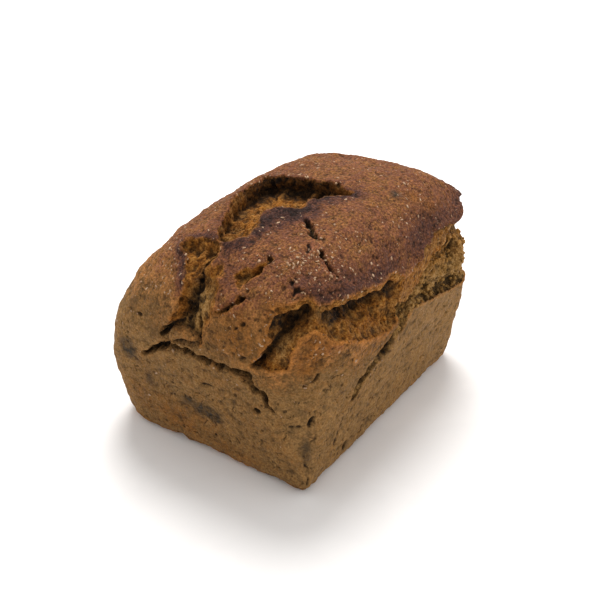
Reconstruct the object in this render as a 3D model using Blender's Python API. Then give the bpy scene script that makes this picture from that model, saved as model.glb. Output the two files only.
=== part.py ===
"""Tin loaf: a small dark loaf, baked as one piece in a rectangular tin.

The flared walls are the shape of the tin. Above its rim the dough rose into a dome, whose
hard top crust split: along the -Y side it lifted clear of the crumb as a slab, and smaller
tears run over the crown and across the -X end.

Frame: +X runs along the loaf, +Y across it, +Z up. The origin is on the underside, below the
middle of the overall box. Lengths below are in millimetres, and the mesh is made in metres.
"""

import bmesh
import bpy
import numpy as np

MM = 0.001

# The block that the tin's walls give
BASE_LENGTH = 124.4
BASE_WIDTH = 100.0
WALL_FLARE = 0.123
TIN_RIM_HEIGHT = 60.0
BOTTOM_EDGE_RADIUS = 5.0

# Upright corners, named by the walls that meet there. The first one opens out as it rises.
CORNER_MINUS_MINUS_FOOT = 3.0
CORNER_MINUS_MINUS_RIM = 32.7
CORNER_MINUS_PLUS = 16.4
CORNER_PLUS_MINUS = 12.0
CORNER_PLUS_PLUS = 24.0
CORNER_BLEND = 15.0

# The risen crown
CROWN_HEIGHT = 99.3
CROWN_CENTRE = (6.0, -11.3)
CROWN_REACH = (66.0, 56.0)
CROWN_DROP = (9.0, 25.1)
CROWN_POWER = (2.8, 3.5)
CROWN_TILT = (-2.6, -4.5)
SHOULDER_RADIUS = 24.4

# Where the slab of top crust ends along the -Y side, from its tip at the +X end
SLAB_EDGE = [
    (62, -48, 83), (53, -53, 78), (40, -53, 81), (28, -54, 80), (13, -56, 76), (-4, -56, 77),
    (-16, -55, 80), (-30, -53, 83), (-41, -52, 85), (-51, -45, 88), (-60, -36, 87),
]

# The burst below the slab: crumb shows between the slab and the top of the -Y wall, and the
# burst ends half way round the +X end
BURST = [
    (-4, -57, 55), (9, -57, 56), (21, -56, 51), (44, -56, 45), (60, -57, 44), (68, -45, 46),
    (70, -30, 50), (69, -15, 56), (68, -5, 61), (67, -25, 68), (64, -42, 75), (53, -53, 77),
    (40, -53, 80), (28, -54, 79), (13, -56, 75), (-4, -56, 75),
]
BURST_DEPTH = 3.0
BURST_LIP = 3.0
UNDERCUT_DEPTH = 6.0
UNDERCUT_WIDTH = 4.0

# The deep pocket between the slab and the crust of the near corner
POCKET = [
    (-52, -52, 75), (-45, -55, 69), (-33, -57, 64), (-18, -57, 59), (-8, -57, 59),
    (-5, -57, 64), (-4, -56, 75), (-16, -55, 78), (-30, -53, 81), (-41, -52, 83), (-49, -50, 81),
]
POCKET_DEPTH = 11.0
POCKET_LIP = 7.0

# Tears in the crown
CROWN_TEAR = [
    (12, -23, 100), (13, -3, 99), (8, 18, 95), (-3, 20, 94), (-24, 14, 96), (-42, 6, 96),
    (-46, -4, 97), (-41, -7, 98), (-33, -7, 99), (-19, -5, 100), (-12, -15, 101), (2, -16, 100),
    (7, -24, 101),
]
CROWN_TEAR_DEPTH = 8.0
CROWN_TEAR_LIP = 5.0
END_TEAR = [
    (-51, 16, 91), (-46, 8, 95), (-47, 1, 96), (-54, -5, 93), (-59, -8, 90), (-68, -6, 75),
    (-70, -4, 62), (-69, 7, 62), (-68, 7, 71), (-63, 7, 83), (-59, 8, 87),
]
END_TEAR_DEPTH = 7.0
END_TEAR_LIP = 4.0

# Long cracks: a path, a width and a depth
END_WALL_CRACK = [
    (-67, 28, 44), (-69, 12, 54), (-69, -10, 55), (-69, -20, 57), (-67, -33, 47), (-66, -38, 40),
]
SIDE_WALL_CRACK = [(-38, -54, 34), (-25, -55, 43), (-9, -56, 48), (-2, -57, 55)]
CORNER_CRACK = [(-69, -29, 61), (-68, -36, 67), (-65, -39, 74), (-56, -47, 81), (-51, -50, 80)]
CROWN_CRACK = [(-46, -22, 98), (-56, -21, 93), (-61, -17, 88)]
FAR_SIDE_CRACK = [(44, 56, 66), (24, 57, 62), (4, 57, 65), (-16, 57, 61), (-38, 55, 65)]
CRACKS = [
    (END_WALL_CRACK, 2.5, 3.5),
    (SIDE_WALL_CRACK, 2.5, 3.0),
    (CORNER_CRACK, 3.5, 6.0),
    (CROWN_CRACK, 2.5, 3.5),
    (FAR_SIDE_CRACK, 2.5, 2.5),
]

# The mesh
HEART = np.array((0.0, 0.0, 38.0))
FARTHEST_CRUST = 160.0
BISECTIONS = 26
GRID_CUTS = 55
KEPT_FACES = 0.17
FLAT_TOLERANCE = 0.00006

SHARP_EDGE = np.radians(50.0)

CRUST_COLOUR = (0.22, 0.115, 0.055, 1.0)
CRUST_ROUGHNESS = 0.85


def clear_scene():
    for old in list(bpy.data.objects):
        bpy.data.objects.remove(old)


def ease(start, end, value):
    """Rises smoothly from 0 at start to 1 at end."""
    share = np.clip((value - start) / (end - start), 0.0, 1.0)
    return share * share * (3.0 - 2.0 * share)


def round_off(first, second, radius):
    """Meets two signed distances in a rounded outer edge."""
    corner = np.hypot(np.maximum(first + radius, 0.0), np.maximum(second + radius, 0.0))
    return np.minimum(np.maximum(first, second) + radius, 0.0) + corner - radius


def corner_radius(x, y, z):
    """The radius of the upright corner that a point is nearest to."""
    plus_x = ease(-CORNER_BLEND, CORNER_BLEND, x)
    plus_y = ease(-CORNER_BLEND, CORNER_BLEND, y)
    opening = ease(0.0, TIN_RIM_HEIGHT, z)
    near = CORNER_MINUS_MINUS_FOOT + (CORNER_MINUS_MINUS_RIM - CORNER_MINUS_MINUS_FOOT) * opening
    minus_x = (1.0 - plus_y) * near + plus_y * CORNER_MINUS_PLUS
    return (1.0 - plus_x) * minus_x + plus_x * ((1.0 - plus_y) * CORNER_PLUS_MINUS + plus_y * CORNER_PLUS_PLUS)


def crown(x, y):
    """The height of the unbroken top crust."""
    height = np.full_like(x, CROWN_HEIGHT)
    for along, centre, reach, drop, power, tilt in zip(
        (x, y), CROWN_CENTRE, CROWN_REACH, CROWN_DROP, CROWN_POWER, CROWN_TILT
    ):
        height += tilt * along / reach - drop * np.abs((along - centre) / reach) ** power
    return height


def outside_loaf(points):
    """How far points lie outside the loaf before it tore. Negative is inside."""
    x, y, z = points.T
    lean = WALL_FLARE * np.clip(z, 0.0, TIN_RIM_HEIGHT)
    radius = corner_radius(x, y, z)
    past_x = np.abs(x) - BASE_LENGTH / 2.0 - lean + radius
    past_y = np.abs(y) - BASE_WIDTH / 2.0 - lean + radius
    walls = np.hypot(np.maximum(past_x, 0.0), np.maximum(past_y, 0.0))
    walls += np.minimum(np.maximum(past_x, past_y), 0.0) - radius
    body = round_off(walls, z - crown(x, y), SHOULDER_RADIUS)
    return round_off(body, -z, BOTTOM_EDGE_RADIUS)


def press_to_loaf(points):
    """Moves points along their rays from the heart of the loaf until they lie on its crust."""
    rays = points - HEART
    rays /= np.linalg.norm(rays, axis=1, keepdims=True)
    inner = np.zeros(len(rays))
    outer = np.full(len(rays), FARTHEST_CRUST)
    for _ in range(BISECTIONS):
        middle = (inner + outer) / 2.0
        beyond = outside_loaf(HEART + rays * middle[:, None]) > 0.0
        outer = np.where(beyond, middle, outer)
        inner = np.where(beyond, inner, middle)
    return HEART + rays * ((inner + outer) / 2.0)[:, None]


def on_crust(path):
    return press_to_loaf(np.array(path, float))


def distance_to(points, path, closed=False):
    """The distance from each point to a path laid over the crust."""
    ends = np.roll(path, -1, axis=0) if closed else path[1:]
    nearest = np.full(len(points), FARTHEST_CRUST)
    for start, end in zip(path, ends):
        step = end - start
        share = np.clip((points - start) @ step / (step @ step), 0.0, 1.0)
        nearest = np.minimum(nearest, np.linalg.norm(points - start - share[:, None] * step, axis=1))
    return nearest


def flatten(points):
    """Lays the crust out flat around the crown, so that outlines can be tested on it."""
    x, y, z = (points - HEART).T
    heading = np.arctan2(y, x)
    from_top = np.arctan2(np.hypot(x, y), z)
    return np.column_stack((from_top * np.cos(heading), from_top * np.sin(heading)))


def inside(points, outline):
    """True where a point lies inside a closed outline on the crust."""
    place = flatten(points)
    corners = flatten(outline)
    within = np.zeros(len(points), bool)
    for start, end in zip(corners, np.roll(corners, -1, axis=0)):
        if start[1] == end[1]:
            continue
        crosses = (start[1] > place[:, 1]) != (end[1] > place[:, 1])
        meeting = start[0] + (place[:, 1] - start[1]) * (end[0] - start[0]) / (end[1] - start[1])
        within ^= crosses & (place[:, 0] < meeting)
    return within


def tear(points, outline, depth, lip):
    """The depth of an open tear, which falls from its outline to its floor over the lip."""
    rim = on_crust(outline)
    return np.where(inside(points, rim), depth * ease(0.0, lip, distance_to(points, rim, closed=True)), 0.0)


def crack(points, path, width, depth):
    """The depth of a narrow crack along a path."""
    return depth * np.exp(-((distance_to(points, on_crust(path)) / width) ** 2))


def side_burst(points):
    """The crumb that shows in the side burst, deepest where it runs in under the slab."""
    crumb = tear(points, BURST, BURST_DEPTH, BURST_LIP)
    under_slab = np.exp(-distance_to(points, on_crust(SLAB_EDGE)) / UNDERCUT_WIDTH)
    return crumb * (1.0 + UNDERCUT_DEPTH / BURST_DEPTH * under_slab)


def torn_depth(points):
    """How far the tears and cracks have opened below the crust at each point."""
    depths = [
        side_burst(points),
        tear(points, POCKET, POCKET_DEPTH, POCKET_LIP),
        tear(points, CROWN_TEAR, CROWN_TEAR_DEPTH, CROWN_TEAR_LIP),
        tear(points, END_TEAR, END_TEAR_DEPTH, END_TEAR_LIP),
    ]
    depths += [crack(points, path, width, depth) for path, width, depth in CRACKS]
    return np.max(depths, axis=0)


def dough_block():
    """A tapered block of the tin's size, cut into a fine even grid."""
    bm = bmesh.new()
    bmesh.ops.create_cube(bm, size=1.0)
    bmesh.ops.scale(bm, vec=(BASE_LENGTH, BASE_WIDTH, CROWN_HEIGHT), verts=bm.verts)
    bmesh.ops.translate(bm, vec=(0.0, 0.0, CROWN_HEIGHT / 2.0), verts=bm.verts)
    rim = [v for v in bm.verts if v.co.z > HEART[2]]
    widening = [1.0 + 2.0 * WALL_FLARE * TIN_RIM_HEIGHT / side for side in (BASE_LENGTH, BASE_WIDTH)]
    bmesh.ops.scale(bm, vec=(*widening, 1.0), verts=rim)
    bmesh.ops.subdivide_edges(bm, edges=bm.edges[:], cuts=GRID_CUTS, use_grid_fill=True)
    return bm


def bake(bm):
    """Presses the block into the loaf's shape and opens its tears."""
    block = np.array([v.co for v in bm.verts])
    crust = press_to_loaf(block)
    inward = HEART - crust
    inward /= np.linalg.norm(inward, axis=1, keepdims=True)
    loaf = crust + inward * torn_depth(crust)[:, None]
    loaf[:, :2] -= (loaf[:, :2].min(axis=0) + loaf[:, :2].max(axis=0)) / 2.0
    for vert, place in zip(bm.verts, loaf * MM):
        vert.co = place


def thin_out(loaf):
    """Keeps the faces where the crust bends, and joins them where it is smooth."""
    decimate = loaf.modifiers.new("fewer faces on smooth crust", "DECIMATE")
    decimate.ratio = KEPT_FACES
    decimate.use_collapse_triangulate = True
    graph = bpy.context.evaluated_depsgraph_get()
    thinned = bpy.data.meshes.new_from_object(loaf.evaluated_get(graph), depsgraph=graph)
    loaf.modifiers.remove(decimate)
    return thinned


def flatten_underside(mesh):
    """Makes the underside one flat face to rest on."""
    bm = bmesh.new()
    bm.from_mesh(mesh)
    for vert in bm.verts:
        if vert.co.z < FLAT_TOLERANCE:
            vert.co.z = 0.0
    underside = [face for face in bm.faces if all(v.co.z == 0.0 for v in face.verts)]
    bmesh.ops.dissolve_faces(bm, faces=underside, use_verts=True)
    bmesh.ops.recalc_face_normals(bm, faces=bm.faces)
    bm.to_mesh(mesh)
    bm.free()


def crust_material():
    material = bpy.data.materials.new("rye_crust")
    material.use_nodes = True
    shader = material.node_tree.nodes["Principled BSDF"]
    shader.inputs["Base Color"].default_value = CRUST_COLOUR
    shader.inputs["Roughness"].default_value = CRUST_ROUGHNESS
    shader.inputs["Metallic"].default_value = 0.0
    return material


def make_loaf():
    bm = dough_block()
    bake(bm)
    mesh = bpy.data.meshes.new("loaf")
    bm.to_mesh(mesh)
    bm.free()
    loaf = bpy.data.objects.new("loaf", mesh)
    bpy.context.scene.collection.objects.link(loaf)
    loaf.data = thin_out(loaf)
    loaf.data.name = "loaf"
    flatten_underside(loaf.data)
    loaf.data.materials.append(crust_material())
    loaf.data.shade_smooth()
    loaf.data.set_sharp_from_angle(angle=SHARP_EDGE)
    return loaf


def main():
    clear_scene()
    make_loaf()


main()
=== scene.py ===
"""Tin loaf: the torn crust, shaggy crumb and bran flakes of a small dark loaf, on a pale studio floor."""

import math
from functools import partial

import bmesh
import bpy
import numpy as np
from bpy.props import FloatProperty, FloatVectorProperty, IntProperty, PointerProperty
from mathutils import Matrix, Vector, kdtree, noise


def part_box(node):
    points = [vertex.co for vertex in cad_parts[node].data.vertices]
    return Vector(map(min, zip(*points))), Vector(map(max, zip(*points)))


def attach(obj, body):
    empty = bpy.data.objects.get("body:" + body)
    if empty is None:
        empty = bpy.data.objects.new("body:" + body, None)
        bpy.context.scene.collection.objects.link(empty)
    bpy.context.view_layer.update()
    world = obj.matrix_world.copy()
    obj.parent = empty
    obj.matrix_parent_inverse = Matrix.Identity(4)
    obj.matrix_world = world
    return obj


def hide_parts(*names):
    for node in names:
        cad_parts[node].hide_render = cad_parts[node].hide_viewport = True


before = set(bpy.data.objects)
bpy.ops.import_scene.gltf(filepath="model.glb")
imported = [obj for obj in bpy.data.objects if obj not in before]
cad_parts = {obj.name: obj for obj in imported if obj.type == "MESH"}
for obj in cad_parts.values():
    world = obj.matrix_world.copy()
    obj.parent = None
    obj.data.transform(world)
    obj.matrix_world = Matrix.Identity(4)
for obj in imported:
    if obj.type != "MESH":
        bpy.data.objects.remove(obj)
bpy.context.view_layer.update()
LOAF_LOW, LOAF_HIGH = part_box("loaf")

bl_info = {
    "name": "Tin Loaf",
    "version": (1, 0, 0),
    "blender": (4, 5, 0),
    "location": "3D View > Sidebar > Loaf",
    "description": "Bakes a torn wholegrain tin loaf with its crumb and bran flakes",
    "category": "Add Mesh",
}

MM = 0.001

# ---------------------------------------------------------------- the dough before it tore, in mm

BASE_LENGTH = 124.4
BASE_WIDTH = 100.0
WALL_FLARE = 0.123
TIN_RIM_HEIGHT = 60.0
BOTTOM_EDGE_RADIUS = 5.0
NEAR_CORNER_FOOT = 3.0
NEAR_CORNER_RIM = 32.7
LEFT_BACK_CORNER = 16.4
RIGHT_FRONT_CORNER = 12.0
BACK_CORNER = 24.0
CORNER_BLEND = 15.0
CROWN_HEIGHT = 99.3
CROWN_CENTRE = (6.0, -11.3)
CROWN_REACH = (66.0, 56.0)
CROWN_DROP = (9.0, 25.1)
CROWN_POWER = (2.8, 3.5)
CROWN_TILT = (-2.6, -4.5)
SHOULDER_RADIUS = 24.4
HEART = np.array((0.0, 0.0, 38.0))
FARTHEST_CRUST = 160.0
BISECTIONS = 26

# ---------------------------------------------------------------- where it tore, in mm

SLAB_EDGE = [
    (66, -40, 84), (62, -48, 83), (52.5, -53, 78), (46.5, -54, 78), (40.5, -53.5, 79.5), (34.5, -53.5, 81),
    (30.5, -53, 82), (27.5, -54, 80.5), (23, -54.5, 79), (19.5, -54.5, 80), (16.5, -55, 78.5),
    (14, -55.5, 76.5), (9, -56, 75), (4.5, -56.5, 73.5), (1, -56.5, 74), (-1.5, -56, 76.5),
    (-2.5, -55.5, 78), (-5.5, -55, 80), (-8.5, -55, 80), (-14.5, -55, 80), (-21.5, -54.5, 81),
    (-30.5, -53.5, 83), (-39.5, -52, 84.5), (-46, -50, 85), (-49, -48, 86), (-50, -45.5, 88.5),
    (-52, -43.5, 88.5), (-55, -41.5, 88), (-58, -39, 87), (-61, -34.5, 86),
]
PLATE_EDGE = [
    (-61, -34.5, 86), (-61.5, -36.5, 84), (-63.5, -35.5, 81.5), (-65.5, -35, 78), (-66, -36.5, 75),
    (-65, -38, 75), (-67, -36, 72), (-68, -34, 69.5), (-69, -31.5, 65),
]
LOBE_RIM = [
    (-67, -36, 60), (-64, -42.5, 62.5), (-64, -43, 64.5), (-63.5, -43.5, 68.5), (-62, -44.5, 71.5),
    (-59.5, -46, 75.5), (-56.5, -48.5, 77), (-54.5, -49.5, 77.5), (-51.5, -52, 75.5), (-50.5, -53, 74),
    (-48, -54.5, 70.5), (-42, -56.5, 68.5), (-33, -57.5, 64), (-25, -57.5, 61), (-18, -57, 58.5),
    (-12, -57, 57.5), (-7.5, -57, 58), (-5, -57.5, 62), (-3.5, -57.5, 66), (-1.5, -57, 70.5),
    (1, -56.5, 74),
]
FRONT_CORE = [
    (-55, -46, 83), (-59, -44, 81), (-62.5, -41.5, 78), (-65.5, -38.5, 73.5), (-67, -36.5, 70.5),
    (-68, -34, 66.5), (-69, -30.5, 61.5),
]
SLAB_FLAP = (-52.5, -48.0, 81.5)
HOLLOW_FLANK = (-63.0, -42.0, 71.0)
HOLLOW_FOOT = (-69, -28, 61)
STRIP_FOOT = [
    (56, -53, 76), (46, -54, 76.5), (40.5, -54.5, 76), (36, -55.5, 71.5), (30, -55.5, 71), (25, -56, 70.5),
    (16.5, -56, 65), (10, -57, 62), (4.5, -57, 60), (1.5, -57.5, 62), (-2.5, -57.5, 66),
]
LOBE_FOLD = [(-51.5, -52, 75), (-54, -50, 71), (-56, -48, 67), (-56.5, -47, 63)]
LOBE_RIDGE = [
    (-41, -54, 31), (-33, -55, 39), (-27, -55, 45), (-20, -56, 48), (-15, -56, 50), (-10, -57, 53),
    (-5, -57, 55), (-5, -57, 60), (-3.5, -57.5, 66),
]
WALL_TOP = [
    (-39, -54, 30), (-31, -55, 35), (-24, -55, 38.5), (-17, -56, 41), (-8, -56, 44.5), (-3, -56, 48.5),
    (3, -57, 52), (9, -57, 55), (21, -56, 52), (33, -56, 49), (44, -56, 46), (60, -57, 44), (68, -45, 46),
    (70, -30, 50), (69, -15, 56), (68, -5, 61),
]
BURST_TOP_END = [(67, -16, 66), (67, -28, 71), (66, -38, 78)]
BURST_HOLLOWS = (
    ((24.5, -56.0, 74.0), 2.6, 4.0), ((36.0, -56.5, 71.5), 3.6, 5.0), ((25.0, -56.5, 54.5), 2.0, 3.0),
    ((10.5, -57.0, 57.0), 2.6, 4.0), ((1.0, -56.5, 54.0), 3.0, 4.0), ((-3.0, -57.5, 60.0), 2.4, 4.0),
    ((60.0, -48.0, 78.5), 5.5, 10.0), ((46.0, -56.0, 62.0), 2.2, 3.0), ((14.0, -56.5, 65.0), 2.4, 3.0),
    ((66.0, -36.0, 74.0), 4.5, 6.0), ((57.0, -52.0, 73.0), 8.0, 6.0), ((48.5, -55.0, 76.0), 3.0, 6.0),
    ((64.0, -46.0, 69.0), 6.5, 4.5), ((50.0, -56.0, 66.0), 3.2, 5.0),
)

SLAB_FRONT, SLAB_BACK = SLAB_EDGE[14:], SLAB_EDGE[:16]
HOLLOW_OUTLINE = SLAB_FRONT + PLATE_EDGE[1:] + [HOLLOW_FOOT] + LOBE_RIM[:-1]
BURST_OUTLINE = WALL_TOP[5:] + BURST_TOP_END + SLAB_EDGE[1:15] + LOBE_RIDGE[:-4:-1]
STRIP_OUTLINE = SLAB_EDGE[2:15] + STRIP_FOOT[::-1]
WEDGE_OUTLINE = LOBE_RIDGE + WALL_TOP[:7][::-1]

CROWN_FAR_LIP = [
    (12, -23, 101), (14, -14, 100), (13, -3, 99), (10, 10, 97), (8, 18, 95), (1, 19, 95), (-3, 20, 94),
    (-14, 18, 95), (-24, 14, 96), (-35, 10, 97), (-42, 6, 96), (-46, 1, 96),
]
CROWN_NEAR_LIP = [
    (-46, -3, 97), (-42, -6, 98), (-41, -7, 98), (-33, -7, 99), (-24, -3, 99), (-19, -5, 100),
    (-14, -15, 101), (-7, -14, 101), (2, -17, 101), (7, -24, 101),
]
END_TEAR = [
    (-51.5, 16.5, 91), (-49, 16.5, 92), (-47, 15, 93), (-45.5, 11, 94.5), (-46, 5.5, 95.5), (-46.5, 1, 96),
    (-51.5, -1.5, 94.5), (-53.5, -2.5, 93.5), (-55.5, -1, 92), (-57, -3, 91), (-55.5, -5, 92.5),
    (-55.5, -7.5, 92.5), (-58.5, -8, 89.5), (-60, -7, 88.5), (-62, -9, 86), (-63.5, -8, 83.5),
    (-65.5, -9, 80.5), (-67, -9, 77), (-68.5, -7, 72), (-69.5, -5.5, 67), (-69.5, -4.5, 62), (-69.5, 4, 61),
    (-69.5, 10, 64), (-69, 9.5, 67), (-68, 7, 73), (-67, 8, 75.5), (-65, 6.5, 79.5), (-63.5, 7.5, 82),
    (-62, 7, 84), (-60, 9.5, 86), (-57.5, 11, 88.5), (-54.5, 12, 90.5), (-52.5, 15, 91),
]
END_LEFT_SIDE, END_RIGHT_SIDE = END_TEAR[22:], END_TEAR[8:21]
PEBBLE = [
    (-69.5, 12.5, 60.5), (-69.5, 11, 63.5), (-69.5, 6.5, 66), (-69.5, 3, 66), (-69.5, 0.5, 65.5),
    (-69.5, -3, 64), (-69.5, -1, 61), (-69.5, 5.5, 58.5), (-69.5, 11, 57.5),
]
PLATE_TEAR = [
    (-57.5, -13, 91.5), (-56.5, -13.5, 92), (-54.5, -16.5, 94), (-53.5, -19, 94.5), (-50.5, -21, 96.5),
    (-49.5, -22, 97), (-46, -21.5, 98), (-46.5, -23, 98), (-49, -24, 97), (-51.5, -23, 96),
    (-53, -23.5, 95), (-56.5, -22, 92.5), (-58, -20, 91), (-59, -18, 90), (-60.5, -18, 88.5),
    (-60, -16, 88.5), (-58.5, -14.5, 90),
]
PLATE_SLIT = [
    (-66.5, -10, 78), (-66, -12.5, 79.5), (-65, -15, 82), (-63.5, -18, 84.5), (-62, -18, 86),
    (-61.5, -21, 87.5), (-62.5, -21.5, 86), (-64.5, -18.5, 83), (-65.5, -17.5, 81), (-66.5, -14, 78.5),
    (-67, -10, 77),
]

# Sections across the tears: distances from an edge, and the depth or the undercut at each
CROWN_WALL = (0.0, 0.8, 2.0, 3.5), (0.0, 4.0, 7.6, 8.6)
CROWN_RAMP = (0.0, 0.7, 4.0, 9.0), (0.0, 1.6, 4.2, 8.0)
CROWN_UNDERCUT = (0.5, 2.0, 4.5), (0.0, 3.2, 0.0)
END_STEEP_SIDE = (0.0, 0.8, 2.4, 6.0), (0.0, 2.2, 5.0, 6.0)
END_GENTLE_SIDE = (0.0, 0.6, 3.0, 7.0, 10.0), (0.0, 1.0, 2.2, 4.0, 5.6)
END_LIP = (0.0, 0.7, 2.0, 5.0), (0.0, 1.6, 3.4, 8.0)
HOLLOW_RIM = (0.0, 0.5, 2.0, 7.0, 11.0, 15.0), (0.0, 1.1, 2.4, 5.0, 9.0, 14.0)
HOLLOW_ROOF = (-3.0, -2.2, 0.0, 0.8, 4.0, 12.0), (0.0, 1.0, 1.9, 13.0, 14.0, 9.0)
HOLLOW_SLAB_LIP = (0.0, 0.5, 2.0), (0.0, 1.1, 16.0)
HOLLOW_PLATE_LIP = (0.0, 0.6, 4.0, 5.6), (0.0, 1.5, 3.6, 11.0)
HOLLOW_UNDERCUT = (0.0, 1.5, 5.5), (0.0, 8.0, 0.0)
BURST_GAP = (0.0, 1.0, 3.0, 7.0), (2.0, 6.0, 5.0, 1.3)
BURST_SLAB_LIP = (0.0, 1.0, 4.0), (0.0, 1.2, 2.4)
BURST_STRIP = (0.0, 0.4, 3.0, 8.0), (0.0, 0.9, 1.3, 2.0)
BURST_WALL_LIP = (0.0, 0.5, 2.0, 6.0), (0.0, 1.2, 4.0, 9.0)
BURST_UNDERCUT = (0.5, 2.5, 6.0), (0.0, 3.0, 0.0)
WEDGE_RIDGE = (0.0, 0.5, 1.3, 2.2, 5.0), (0.0, 2.6, 6.5, 3.0, 1.2)
WEDGE_WALL = (0.0, 0.6, 3.0), (0.0, 1.0, 5.0)

FOOT_NOTCH = (-60.5, 15.5, 1.5)

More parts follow.
